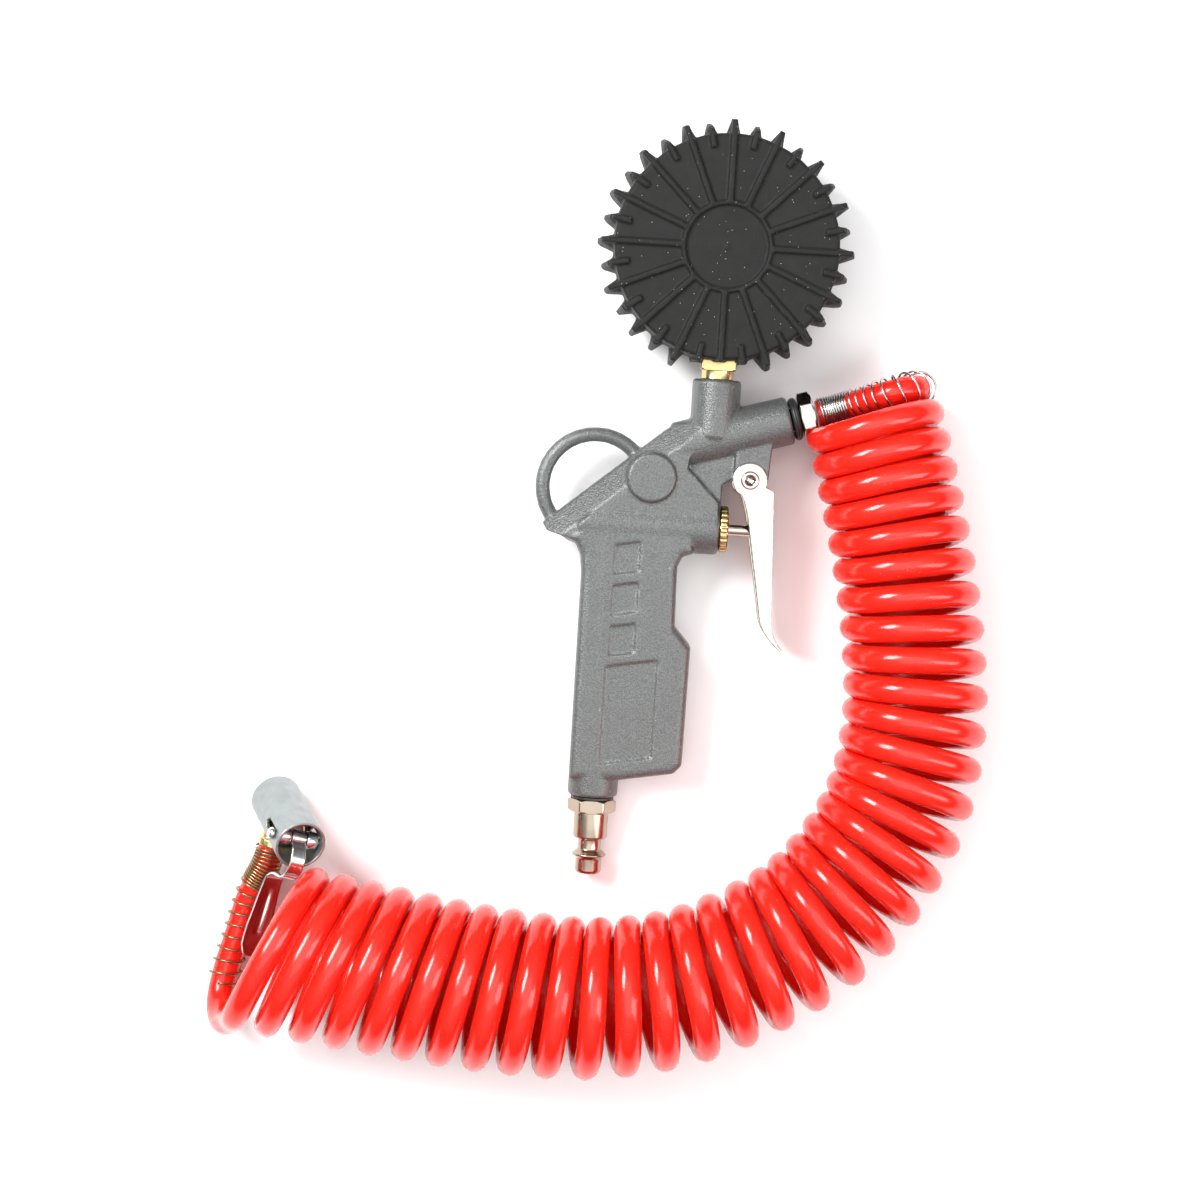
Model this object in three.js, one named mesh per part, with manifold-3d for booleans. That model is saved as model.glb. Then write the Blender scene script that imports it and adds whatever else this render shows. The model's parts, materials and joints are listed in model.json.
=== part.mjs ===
// Tyre inflator pistol: a cast pistol with a rubber-booted pressure gauge, a squeeze lever, a quick-connect
// nipple and a spiral hose that ends in a clip-on tyre chuck. It lies on its side, as it is put down on a
// bench.
// Millimetres, +Z up. The origin is the bottom centre of the pistol and gauge, without the hose.
// The pistol is drawn in its own frame: origin at the round boss on its middle plane, +X towards the lever,
// +Y towards the gauge, +Z towards the side that faces up.
import * as THREE from 'three';
import { mergeVertices } from 'three/addons/utils/BufferGeometryUtils.js';
import Module from 'manifold-3d';

const wasm = await Module();
wasm.setup();

// ---------------------------------------------------------------- driving dimensions
const GAP = 0.3;                       // clearance between neighbouring pieces
const ASSEMBLY_PLACE = [-12.95, 8.49, 0];
const GUN_HEIGHT = 17.78;              // the boss centre above the bench
const GUN_TILT = THREE.MathUtils.degToRad(4.2);

const HEAD_HALF = 8.4;                 // half thickness of the head's flat faces
const GRIP_HALF = 9.0;
const RIDGE_HALF = 3.0;                // half thickness left at the head's back edge
const CHAMFER_WIDTH = 7.6;
const BACK_EDGE_ANGLE = THREE.MathUtils.degToRad(40.5);
const BACK_EDGE_POINT = [4.6, 18];
const BOSS_RADIUS = 8.9;
const BOSS_HALF = 10.1;

const RING_CENTRE = [-20.4, -4.8];
const RING_RADIUS = 19.2;
const RING_WIRE = 2.8;

const VALVE_Y = -17.6;                 // the valve barrel's axis, parallel to X
const VALVE_FACE_X = 25.6;
const VALVE_BARREL_RADIUS = 9.4;
const VALVE_BORE = 6.5;
const PORT_BORE = 6.5;                 // tapped ports, drawn plain
const THREAD_RADIUS = 6.2;
const PASSAGE = 3.6;

const GAUGE_X = 21.7;
const GAUGE_Y = 84;
const GAUGE_PORT_TOP = 36.8;
const GAUGE_PORT_RADIUS = 8.95;
const PORT_PROUD = 1.11;               // the gauge port stands prouder of the faces than it is wide
const GAUGE_PORT_LENGTH = 20.6;        // down to where its blunt end starts, over the hose port
const GAUGE_PORT_END = 3;
const WEB_HALF = 4.6;                  // the recessed web between the ports and the valve barrel

const HOSE_PORT_END = [49.2, 23.7];
const HOSE_ANGLE = THREE.MathUtils.degToRad(16.5);
const HOSE_PORT_RADIUS = 8.9;

const INLET_X = -14.5;                 // the inlet barrel's axis, parallel to Y
const INLET_END_Y = -118.2;
const INLET_RADIUS = 9.2;

const PIVOT = [35.6, 1.1];
const PIN_RADIUS = 2.4;
const LUG_HALF = 6.2;
const EAR_INNER = 6.6;
const EAR_OUTER = 7.8;

const BOOT_RADIUS = 40.3;
const BOOT_BACK_Z = 16;
const BOOT_FRONT_Z = -21;
const CASE_RADIUS = 35.5;
const CASE_WALL = 1.2;
const RIB_COUNT = 16;
const RIB_WIDTH = 2;
const RIB_HEIGHT = 1.4;
const FIN_TIP_RADIUS = 46.6;
const FIN_ROOT_RADIUS = 39;

const HOSE_RADIUS = 4.75;
const GUARD_INNER = 5.1;
const GUARD_OUTER = 6.3;
const COIL_RADIUS_START = 20.9;        // hose centreline radius in the first turn
const COIL_RADIUS_END = 27.1;

const CHUCK_REAR = new THREE.Vector3(-117.6, -140.4, 36);
const CHUCK_AXIS = new THREE.Vector3(0.386, -0.405, 0.829).normalize();
const TAIL_DIRECTION = new THREE.Vector3(-0.224, -0.975, -0.04).normalize();
const CHUCK_RADIUS = 9.3;
const CHUCK_WALL = 1.0;
const CHUCK_LENGTH = 35;
const CHUCK_PIN_Z = -5.5;
const CHUCK_PIN_RADIUS = 1.5;
const CORE_OFFSET = -1.8;              // the core sits to the hose's side, so the claw passes beside it
const VALVE_MOUTH = 4.2;
const TAIL_Z = -26;
const TAIL_RISE = Math.PI / 2 - CHUCK_AXIS.angleTo(TAIL_DIRECTION);
const TAIL_RADIUS = 4.7;

// The hose's routes, hand-laid on the bench, in the assembly's frame.
const GUN_LEAD = [[72, 30.7, 23], [79, 33, 28.2], [85, 35, 31.8], [90.5, 36.8, 31.2],
  [94.3, 37.5, 26.8], [95.6, 37.4, 20.4], [94.6, 36.4, 13.6], [91.2, 34.6, 8.6], [87, 32.6, 6.1]];
const COIL_AXIS = [[77.6, 29.8], [86, 1], [93, -27], [98, -55], [100, -83], [96, -112], [85, -136],
  [67, -158], [45, -173], [20, -184], [-10, -189.5], [-45, -188.5], [-85, -184], [-128, -178]];
const CHUCK_LEAD = [[-138.5, -163, 9.2], [-142, -177, 7.8], [-145, -188, 7.2],
  [-146.7, -196.5, 7.8], [-146.8, -203, 11.2], [-145, -206.8, 17.5]];
const COIL_SHARE = [0.017, 0.985];     // the stretch of that route that the wound turns fill
// How far the turns lean along the route, in degrees, at shares of its length.
const COIL_LEAN = [[0, -7.6], [0.25, 0], [0.77, 0], [1, 14]];

// ---------------------------------------------------------------- finishes
const finish = (color, roughness, metalness) => () => (
  new THREE.MeshStandardMaterial({ color, roughness, metalness })
);
const castPaint = finish(0x83878a, 0.55, 0.5);
const rubber = finish(0x26282a, 0.8, 0);
const brass = finish(0xc9a552, 0.3, 1);
const nickel = finish(0xd8d4cc, 0.2, 1);
const zinc = finish(0xb9c2c6, 0.3, 1);
const springSteel = finish(0xa8a9a6, 0.3, 1);
const brassedSteel = finish(0x9a8558, 0.3, 1);
const whiteEnamel = finish(0xf2f2ee, 0.5, 0);
const redPaint = finish(0xc01818, 0.5, 0);
const clearPlastic = finish(0xe8f0f2, 0.1, 0);
const polyurethane = finish(0xe02015, 0.2, 0);

// ---------------------------------------------------------------- solids
function solid(geometry) {
  const bare = new THREE.BufferGeometry();
  bare.setAttribute('position', geometry.attributes.position);
  bare.setIndex(geometry.index);
  const merged = mergeVertices(bare, 1e-4);
  const triangles = [];
  for (let i = 0; i < merged.index.count; i += 3) {
    const [a, b, c] = merged.index.array.slice(i, i + 3);
    if (a !== b && b !== c && c !== a) triangles.push(a, b, c);
  }
  return new wasm.Manifold(new wasm.Mesh({
    numProp: 3,
    vertProperties: new Float32Array(merged.attributes.position.array),
    triVerts: new Uint32Array(triangles),
  }));
}

function geometryOf(manifold) {
  const mesh = manifold.getMesh();
  const geometry = new THREE.BufferGeometry();
  geometry.setAttribute('position', new THREE.BufferAttribute(mesh.vertProperties, mesh.numProp));
  geometry.setIndex(new THREE.BufferAttribute(mesh.triVerts, 1));
  return geometry;
}

const joined = (...geometries) => geometries.map(solid).reduce((sum, next) => sum.add(next));

function carve(manifold, ...tools) {
  return tools.map(solid).reduce((rest, tool) => rest.subtract(tool), manifold);
}

function piece(parent, name, geometry, material) {
  const mesh = new THREE.Mesh(geometry, material());
  mesh.name = name;
  parent.add(mesh);
  return mesh;
}

// A turned solid about Y from [radius, y] points.
function turned(profile, segments = 24) {
  return new THREE.LatheGeometry(profile.map(([radius, y]) => new THREE.Vector2(radius, y)), segments);
}

// A plain rod about Y from one height to another, with small end chamfers.
function rod(radius, low, high, segments = 20, chamfer = 0.4) {
  return turned([[0, low], [radius - chamfer, low], [radius, low + chamfer],
    [radius, high - chamfer], [radius - chamfer, high], [0, high]], segments);
}

const alongX = (geometry) => geometry.rotateZ(-Math.PI / 2);
const alongZ = (geometry) => geometry.rotateX(Math.PI / 2);
const alongHose = (geometry) => geometry
  .rotateZ(HOSE_ANGLE - Math.PI / 2).translate(...HOSE_PORT_END, 0);

function outline(points) {
  return new THREE.Shape(points.map(([x, y]) => new THREE.Vector2(x, y)));
}

// A flat plate, centred on the XY plane.
function plate(shape, half, curveSegments = 8) {
  return new THREE.ExtrudeGeometry(shape, { depth: 2 * half, bevelEnabled: false, curveSegments })
    .translate(0, 0, -half);
}

function box(low, high) {
  const size = high.map((value, axis) => value - low[axis]);
  const centre = high.map((value, axis) => (value + low[axis]) / 2);
  return new THREE.BoxGeometry(...size).translate(...centre);
}

// A hexagon about Y with its corners turned off at both ends.
function hexagon(acrossFlats, low, high, turn = 0) {
  const corner = acrossFlats / Math.sqrt(3);
  const prism = new THREE.CylinderGeometry(corner, corner, high - low, 6)
    .translate(0, (low + high) / 2, 0).rotateY(turn);
  return geometryOf(solid(prism).intersect(solid(rod(corner - 0.15, low, high, 24, 0.7))));
}

const curveThrough = (points) => new THREE.CatmullRomCurve3(
  points.map((point) => new THREE.Vector3(...point)), false, 'centripetal');

function circle(radius, sides) {
  const shape = new THREE.Shape();
  for (let i = 0; i < sides; i += 1) {
    const angle = (2 * Math.PI * i) / sides;
    const move = i === 0 ? 'moveTo' : 'lineTo';
    shape[move](radius * Math.cos(angle), radius * Math.sin(angle));
  }
  return shape;
}

function hoseTube(curve, steps) {
  return new THREE.ExtrudeGeometry(circle(HOSE_RADIUS, 8), {
    extrudePath: curve, steps, bevelEnabled: false,
  });
}

function guardSleeve(curve, steps) {
  const section = circle(GUARD_OUTER, 10);
  section.holes.push(circle(GUARD_INNER, 10));
  return new THREE.ExtrudeGeometry(section, { extrudePath: curve, steps, bevelEnabled: false });
}

// ---------------------------------------------------------------- the cast body
const GRIP_OUTLINE = [[-20, -14], [-30, -23.4], [-26.4, -25.4], [-24.3, -29.4], [-23.6, -36],
  [-23.6, -112], [-5.2, -111.3], [14.6, -107.8], [17.5, -104.6], [18, -61], [11.8, -54], [11.3, -32],
  [13, -28.2], [17, -26.8], [17, -14]];

// One slanted block that shaves the head's back edge down to its ridge, on the side given.
function backChamfer(side) {
  const slope = Math.atan2(HEAD_HALF - RIDGE_HALF, CHAMFER_WIDTH);
  const length = 90;
  const reach = 22;                    // the block's middle, back along the edge from its known point
  return new THREE.BoxGeometry(length, 40, 20)
    .translate(0, 10, 10)
    .rotateX(-slope)
    .translate(0, 0, RIDGE_HALF)
    .scale(1, 1, side)
    .rotateZ(BACK_EDGE_ANGLE)
    .translate(BACK_EDGE_POINT[0] - reach, BACK_EDGE_POINT[1] - reach * Math.tan(BACK_EDGE_ANGLE), 0);
}

function turnOutward(geometry) {
  const index = geometry.index;
  for (let i = 0; i < index.count; i += 3) {
    const first = index.getX(i);
    index.setX(i, index.getX(i + 1));
    index.setX(i + 1, first);
  }
  return geometry;
}

// A slanted recess in the grip's face, on the side given.
function gripPanel(left, top, width, height, side) {
  const rise = width * Math.tan(THREE.MathUtils.degToRad(10.5));
  const shape = outline([[left, top], [left, top - height],
    [left + width, top - height + rise], [left + width, top + rise]]);
  return plate(shape, 2).translate(0, 0, side * (GRIP_HALF - 0.8 + 2));
}

function gripPanels() {
  const panels = [];
  for (const side of [-1, 1]) {
    for (let row = 0; row < 3; row += 1) {
      panels.push(gripPanel(-12, -25 - 14.9 * row, 9.7, 11.1, side));
    }
    panels.push(gripPanel(-12.8, -69.5, 19, 36.2, side));
  }
  return panels;
}

function bodyPasses() {
  return [
    alongX(rod(VALVE_BORE, 0, 40, 24, 0)).translate(0, VALVE_Y, 0),
    alongX(rod(PASSAGE, INLET_X - PASSAGE, 8, 16, 0)).translate(0, VALVE_Y, 0),
    rod(PASSAGE, -112, VALVE_Y + 2, 16, 0).translate(INLET_X, 0, 0),
    rod(PORT_BORE, -130, -106, 24, 0).translate(INLET_X, 0, 0),
    rod(PASSAGE, VALVE_Y + 2, 30, 16, 0).translate(GAUGE_X, 0, 0),
    rod(PORT_BORE, 25, 45, 24, 0).translate(GAUGE_X, 0, 0),
    alongHose(rod(PASSAGE, -29, 0, 16, 0)),
    alongHose(rod(PORT_BORE, -11, 4, 24, 0)),
    alongZ(rod(PIN_RADIUS + GAP, -12, 12, 20, 0)).translate(...PIVOT, 0),
  ];
}

function gunBody() {
  const head = plate(outline([[-38.8, -18.8], [-37, -21.6], [-30, -23.4], [-20, -26], [24.8, -17],
    [24.8, -7.6], [12.9, 4.1], [14, 12], [20, 20], [13, 22], [12, 21.2], BACK_EDGE_POINT]), HEAD_HALF);
  const grip = new THREE.ExtrudeGeometry(outline(GRIP_OUTLINE), {
    depth: 2 * (GRIP_HALF - 3), bevelThickness: 3, bevelSize: 3, bevelOffset: -3,
    bevelSegments: 3,
  }).translate(0, 0, -(GRIP_HALF - 3));
  const inletBarrel = rod(INLET_RADIUS, INLET_END_Y, VALVE_Y, 28, 0.8).translate(INLET_X, 0, 0);
  const valveBarrel = alongX(rod(VALVE_BARREL_RADIUS, -26, VALVE_FACE_X, 28, 0.8)).translate(0, VALVE_Y, 0);
  const hosePort = alongHose(rod(HOSE_PORT_RADIUS, -43, 0, 28, 0.8));
  const core = carve(joined(head, grip, inletBarrel, valveBarrel, hosePort), backChamfer(1),
    turnOutward(backChamfer(-1)));

  const ring = new THREE.TorusGeometry(RING_RADIUS, RING_WIRE, 8, 32).translate(...RING_CENTRE, 0);
  const boss = alongZ(rod(BOSS_RADIUS, -BOSS_HALF, BOSS_HALF, 28, 0.5));
  const round = [];
  for (let step = 0; step <= 4; step += 1) {
    const angle = (-Math.PI / 2) * (1 - step / 4);
    round.push([GAUGE_PORT_RADIUS * Math.cos(angle), GAUGE_PORT_END * Math.sin(angle)]);
  }
  round[0][0] = 0;
  const gaugePort = turned([...round, [GAUGE_PORT_RADIUS, GAUGE_PORT_LENGTH - 0.8],
    [GAUGE_PORT_RADIUS - 0.8, GAUGE_PORT_LENGTH], [0, GAUGE_PORT_LENGTH]], 28)
    .scale(1, 1, PORT_PROUD).translate(GAUGE_X, GAUGE_PORT_TOP - GAUGE_PORT_LENGTH, 0);
  const web = plate(outline([[10, 6], [24, -12], [25.8, -12], [25.8, -1.4], [28, 0.4], [31, 1],
    [31, 14], [16, 14]]), WEB_HALF);
  const lug = plate(outline([[29.9, 1.5], [42.4, 1.5], [43.2, 17], [29.9, 14]]), LUG_HALF);
  const lugEye = alongZ(rod(5.7, -LUG_HALF, LUG_HALF, 28, 0)).translate(...PIVOT, 0);

  let body = core;
  for (const part of [ring, boss, gaugePort, web, lug, lugEye]) {
    body = body.add(solid(part));
  }
  return geometryOf(carve(body, ...gripPanels(), ...bodyPasses()));
}

// ---------------------------------------------------------------- the air valve
function addValve(gun) {
  const valve = new THREE.Group();
  valve.position.set(VALVE_FACE_X, VALVE_Y, 0);
  gun.add(valve);
  const plug = turned([[2.4, -9], [THREAD_RADIUS, -9], [THREAD_RADIUS, GAP], [8.1, GAP],
    [8.6, 0.8], [8.6, 2.7], [8, 3.3], [2.4, 3.3], [2.4, -9]], 20);
  piece(valve, 'valve_plug', alongX(plug), brass);
  const stemTip = 43.4 - VALVE_FACE_X;
  piece(valve, 'valve_stem', alongX(turned([[0, -12.4], [2, -12.4], [2, stemTip - 1],
    [1.3, stemTip], [0, stemTip]], 16)), nickel);
  piece(valve, 'valve_spool', alongX(turned([[0, -17.2], [4.8, -17.2], [5.4, -16.6], [5.4, -13.4],
    [4.8, -12.7], [0, -12.7]], 16)), brass);
  const seal = turned([[2.5, -19], [4.6, -19], [4.6, -17.5], [2.5, -17.5], [2.5, -19]], 16);
  piece(valve, 'valve_seal', alongX(seal), rubber);
  piece(valve, 'valve_spring', alongX(turned([[4.4, -25.3], [5.6, -25.3], [5.6, -19.3], [4.4, -19.3],
    [4.4, -25.3]], 14)), springSteel);
}

// ---------------------------------------------------------------- the squeeze lever
function leverSide() {
  const shape = new THREE.Shape();
  const [x, y] = PIVOT;
  shape.moveTo(44.6, -2.4);
  shape.lineTo(42, -1.2);
  shape.absarc(x, y, 6.3, -0.35, Math.PI * 1.36, false);
  shape.quadraticCurveTo(34.8, -8, 35.9, -14);
  shape.lineTo(39.9, -36);
  shape.lineTo(42.3, -50);
  shape.quadraticCurveTo(44, -55.5, 50.4, -60.6);
  shape.lineTo(51.2, -59.8);
  shape.quadraticCurveTo(47.2, -56, 46.7, -50);
  return shape;
}

function leverGeometry() {
  const outer = plate(leverSide(), EAR_OUTER, 14);
  const channel = plate(outline([[20, 12], [43.4, 12], [43.4, -2.4], [45.5, -50], [45.7, -53.5],
    [46.6, -56.5], [40, -64], [20, -40]]), EAR_INNER);
  const pinHole = alongZ(rod(PIN_RADIUS + GAP, -12, 12, 20, 0)).translate(...PIVOT, 0);
  return geometryOf(carve(solid(outer), channel, pinHole));
}

function addLever(gun) {
  piece(gun, 'lever', leverGeometry(), nickel);
  const socket = new THREE.CylinderGeometry(1.7, 1.7, 3, 6).rotateX(Math.PI / 2).translate(0, 0, 10);
  const pin = solid(alongZ(turned([[0, -9.9], [2.1, -9.9], [PIN_RADIUS, -9.5], [PIN_RADIUS, EAR_OUTER + GAP],
    [3.3, EAR_OUTER + GAP], [3.3, 9.4], [2.9, 9.9], [0, 9.9]], 24)));
  piece(gun, 'lever_pin', geometryOf(carve(pin, socket)), nickel).position.set(...PIVOT, 0);
  piece(gun, 'lever_pin_clip', alongZ(turned([[PIN_RADIUS + 0.15, -9.1], [3.7, -9.1], [3.7, -8.1],
    [PIN_RADIUS + 0.15, -8.1], [PIN_RADIUS + 0.15, -9.1]], 20)), springSteel).position.set(...PIVOT, 0);
}

// ---------------------------------------------------------------- the inlet nipple
function addInlet(gun) {
  const inlet = new THREE.Group();
  inlet.position.set(INLET_X, INLET_END_Y, 0);
  inlet.rotation.z = Math.PI;
  gun.add(inlet);
  piece(inlet, 'inlet_seal_washer', turned([[6.7, 0.2], [8, 0.2], [8, 1], [6.7, 1], [6.7, 0.2]], 18), rubber);
  const hex = hexagon(15.4, 1.3, 6, Math.PI / 6);
  const tail = turned([[0, -9], [THREAD_RADIUS, -9], [THREAD_RADIUS, 2], [0, 2]], 16);
  const nose = turned([[0, 4], [6.25, 4], [6.25, 15.3], [5.6, 16], [4.2, 16], [4.2, 20], [4.9, 20.5],
    [6.3, 21.7], [6.3, 22.2], [4.8, 23.3], [4.8, 28], [4.2, 28.9], [0, 28.9]], 18);
  const bore = rod(2.8, -10, 30, 16, 0);
  const nipple = carve(joined(hex, tail, nose), bore);
  piece(inlet, 'inlet_nipple', geometryOf(nipple), nickel);
}

// ---------------------------------------------------------------- the pressure gauge
// One rib of the boot: along the back face, over the rim and down the side as a pointed fin.
function bootRib(innerRadius) {
  const back = BOOT_BACK_Z + RIB_HEIGHT;
  const shape = outline([[innerRadius, BOOT_BACK_Z - 0.6], [innerRadius, back - 0.3],
    [innerRadius + 0.4, back], [44.2, back], [45, back - 0.6], [FIN_TIP_RADIUS, 3],
    [43.4, -10], [40.4, -17], [38, -17], [38, BOOT_BACK_Z - 0.6]]);
  return plate(shape, RIB_WIDTH / 2).rotateX(Math.PI / 2);
}

// A short stub on the back face, between two ribs.
function bootStub() {
  const back = BOOT_BACK_Z + RIB_HEIGHT;
  const shape = outline([[35.4, BOOT_BACK_Z - 0.6], [35.4, back], [42, back], [42.6, back - 1.2],
    [41.6, 9], [38, 9], [38, BOOT_BACK_Z - 0.6]]);
  return plate(shape, RIB_WIDTH / 2).rotateX(Math.PI / 2);
}

// A wedge down the boot's side, as the hull of its corners: narrow at the back face, where it carries on
// a rib, and broad lower down.
function bootFin(tipRadius, topRadius) {
  const points = [];
  for (const side of [-1, 1]) {
    points.push([FIN_ROOT_RADIUS, side * 1.1, 15], [topRadius, side * 0.9, 13.5]);
    points.push([FIN_ROOT_RADIUS, side * 3.2, 3], [FIN_ROOT_RADIUS, side * 3.2, -16]);
    points.push([tipRadius, side * 0.8, 0], [tipRadius - 0.8, side * 0.8, -12]);
  }
  return wasm.Manifold.hull(points);
}

function bootGeometry() {
  const shell = turned([[0, 13.2], [CASE_RADIUS + GAP, 13.2], [CASE_RADIUS + GAP, -18.6], [33.2, -18.6],
    [33.2, BOOT_FRONT_Z], [39.4, BOOT_FRONT_Z], [40.4, BOOT_FRONT_Z + 1], [41, 2], [BOOT_RADIUS, 15.2],
    [BOOT_RADIUS - 0.9, BOOT_BACK_Z], [16.3, BOOT_BACK_Z], [16.3, 17.2], [14.9, 17.2],
    [14.9, 15.6], [1.4, 15.9], [0, 16.4]], 48);
  let boot = solid(alongZ(shell));
  for (let rib = 0; rib < RIB_COUNT; rib += 1) {
    const angle = Math.PI / 2 + (2 * Math.PI * rib) / RIB_COUNT;
    const between = angle + Math.PI / RIB_COUNT;
    boot = boot.add(solid(bootRib(15.6).rotateZ(angle)));
    boot = boot.add(solid(bootStub().rotateZ(between)));
    boot = boot.add(bootFin(FIN_TIP_RADIUS, FIN_TIP_RADIUS - 1.2)
      .rotate([0, 0, THREE.MathUtils.radToDeg(angle)]));
    boot = boot.add(bootFin(FIN_TIP_RADIUS - 1, FIN_TIP_RADIUS - 3.4)
      .rotate([0, 0, THREE.MathUtils.radToDeg(between)]));
  }
  const stemSlot = box([-7.2, -60, -9], [7.2, -30, 7.2]);
  const stemSide = box([-10.5, -60, -25], [10.5, -41.1, 20]);
  return geometryOf(carve(boot, stemSlot, stemSide));
}

function gaugeCase() {
  const inner = CASE_RADIUS - CASE_WALL;
  const cup = solid(alongZ(turned([[0, 12.9 - CASE_WALL], [inner, 12.9 - CASE_WALL],
    [inner, -18.2], [CASE_RADIUS, -18.2], [CASE_RADIUS, 12.9], [0, 12.9]], 36)));
  return geometryOf(carve(cup, box([-6.8, -60, -6.8], [6.8, -20, 6.8])));
}

function gaugeStem() {
  const shank = box([-6.4, -43.7, -6.4], [6.4, -28, 6.4]);
  const thread = rod(5.9, -56, -40, 24, 0.4);
  return geometryOf(carve(joined(shank, thread), rod(2, -60, -30, 12, 0)));
}

function bourdonTube() {
  const arc = new THREE.EllipseCurve(0, 0, 22, 22, -Math.PI * 0.42, Math.PI * 1.08, false, 0);
  const path = new THREE.CatmullRomCurve3(
    arc.getPoints(18).map((point) => new THREE.Vector3(point.x, point.y, 0)));
  const section = outline([[-3, -1.3], [3, -1.3], [3, 1.3], [-3, 1.3]]);
  return new THREE.ExtrudeGeometry(section, { extrudePath: path, steps: 30, bevelEnabled: false });
}

const POINTER_REST = THREE.MathUtils.degToRad(45);

function addGauge(gun) {
  const gauge = new THREE.Group();
  gauge.position.set(GAUGE_X, GAUGE_Y, 0);
  gun.add(gauge);
  piece(gauge, 'gauge_boot', bootGeometry(), rubber);
  piece(gauge, 'gauge_case', gaugeCase(), zinc);
  piece(gauge, 'gauge_stem', gaugeStem(), brass);
  piece(gauge, 'bourdon_tube', bourdonTube(), brass).position.z = 2.5;
  const frame = joined(box([-8, -6, -10.6], [8, 6, -9.4]), box([-8, -6, -4], [8, 6, -2.8]),
    box([-7.6, 3, -10], [-5.6, 5, -3]), box([5.6, 3, -10], [7.6, 5, -3]));
  piece(gauge, 'gauge_movement', geometryOf(carve(frame, alongZ(rod(1.3, -12, 0, 12, 0)))), brass);
  piece(gauge, 'gauge_dial', alongZ(turned([[1.5, -12.4], [33.6, -12.4], [33.6, -11.6], [1.5, -11.6],
    [1.5, -12.4]], 28)), whiteEnamel);
  piece(gauge, 'dial_ring', alongZ(turned([[32.4, -15.8], [34, -15.8], [34, -12.7], [32.4, -12.7],
    [32.4, -15.8]], 28)), whiteEnamel);
  piece(gauge, 'gauge_lens', alongZ(rod(34, -17.9, -16.1, 28, 0)), clearPlastic);
  const needle = plate(outline([[-1.6, 9], [1.6, 9], [0.9, 0], [0.3, -27], [-0.3, -27], [-0.9, 0]]), 0.3)
    .translate(0, 0, -13.9);
  const spindle = alongZ(turned([[0, -14.8], [2.6, -14.8], [2.6, -13.4], [0.8, -13.4], [0.8, -3.4],
    [0, -3.4]], 12));
  const pointer = piece(gauge, 'gauge_pointer', geometryOf(joined(needle, spindle)), redPaint);
  pointer.rotation.z = POINTER_REST;
}

// ---------------------------------------------------------------- the hose end on the pistol
function addHoseEnd(gun) {
  const oRing = new THREE.TorusGeometry(6.4, 1.5, 8, 20).rotateX(Math.PI / 2).translate(0, 1.9, 0);
  piece(gun, 'hose_o_ring', alongHose(oRing), rubber);
  const hex = hexagon(15.4, 3.7, 8.8, Math.PI / 6);
  const shank = turned([[0, -9], [THREAD_RADIUS, -9], [THREAD_RADIUS, -0.2], [4.5, 0], [4.5, 4.5],
    [5.6, 4.5], [5.6, 9.6], [0, 9.6]], 18);
  const fitting = carve(joined(hex, shank), rod(2.4, -10, 11, 12, 0));
  piece(gun, 'hose_fitting', alongHose(geometryOf(fitting)), nickel);
}

// ---------------------------------------------------------------- the clip-on chuck
// Its own frame: origin at the sleeve's rear end, +Z out of that end, -Y towards the hose. The tyre valve
// goes in at the far end, at z = -CHUCK_LENGTH.
const inSidePlane = (geometry) => geometry.rotateX(Math.PI / 2).rotateZ(Math.PI / 2);
const alongTail = (geometry) => geometry.rotateX(Math.PI - TAIL_RISE).translate(0, 0, TAIL_Z);

function chuckBody() {
  const inner = CHUCK_RADIUS - CHUCK_WALL;
  const tube = alongZ(turned([[inner, -CHUCK_LENGTH], [CHUCK_RADIUS, -CHUCK_LENGTH], [CHUCK_RADIUS, 0],
    [inner, 0], [inner, -CHUCK_LENGTH]], 28));
  const pinSlot = plate(outline([[8, -1.8], [9.4, 0], [8, 1.8], [-1, 1.8], [-1.9, 0], [-1, -1.8]]), 14);
  pinSlot.rotateY(Math.PI / 2).translate(0, 0, CHUCK_PIN_Z - 0.2);
  const tailHole = alongTail(rod(TAIL_RADIUS + GAP, 4, 16, 20, 0));
  return geometryOf(carve(solid(tube), pinSlot, tailHole));
}

function chuckCore() {
  const body = alongZ(rod(5.9, 0.4 - CHUCK_LENGTH, -13, 20, 0.5)).translate(0, CORE_OFFSET, 0);
  const tail = alongTail(turned([[0, 2], [TAIL_RADIUS, 2], [TAIL_RADIUS, 11], [5.4, 11.4], [5.4, 14],
    [0, 14]], 18));
  const valveBore = alongZ(rod(VALVE_MOUTH, -CHUCK_LENGTH - 2, -23, 24, 0)).translate(0, CORE_OFFSET, 0);
  return geometryOf(carve(joined(body, tail), valveBore, alongTail(rod(1.8, 0, 20, 12, 0))));
}

// A strip of bent sheet: its middle line in the side plane, its thickness and its width.
function bentStrip(line, thickness, width) {
  const sides = [[], []];
  line.forEach(([x, y], index) => {
    const [x0, y0] = line[Math.max(index - 1, 0)];
    const [x1, y1] = line[Math.min(index + 1, line.length - 1)];
    const length = Math.hypot(x1 - x0, y1 - y0);
    const across = [(-(y1 - y0) / length) * (thickness / 2), ((x1 - x0) / length) * (thickness / 2)];
    sides[0].push([x - across[0], y - across[1]]);
    sides[1].unshift([x + across[0], y + across[1]]);
  });
  return inSidePlane(plate(outline([...sides[0], ...sides[1]]), width / 2));
}

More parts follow.
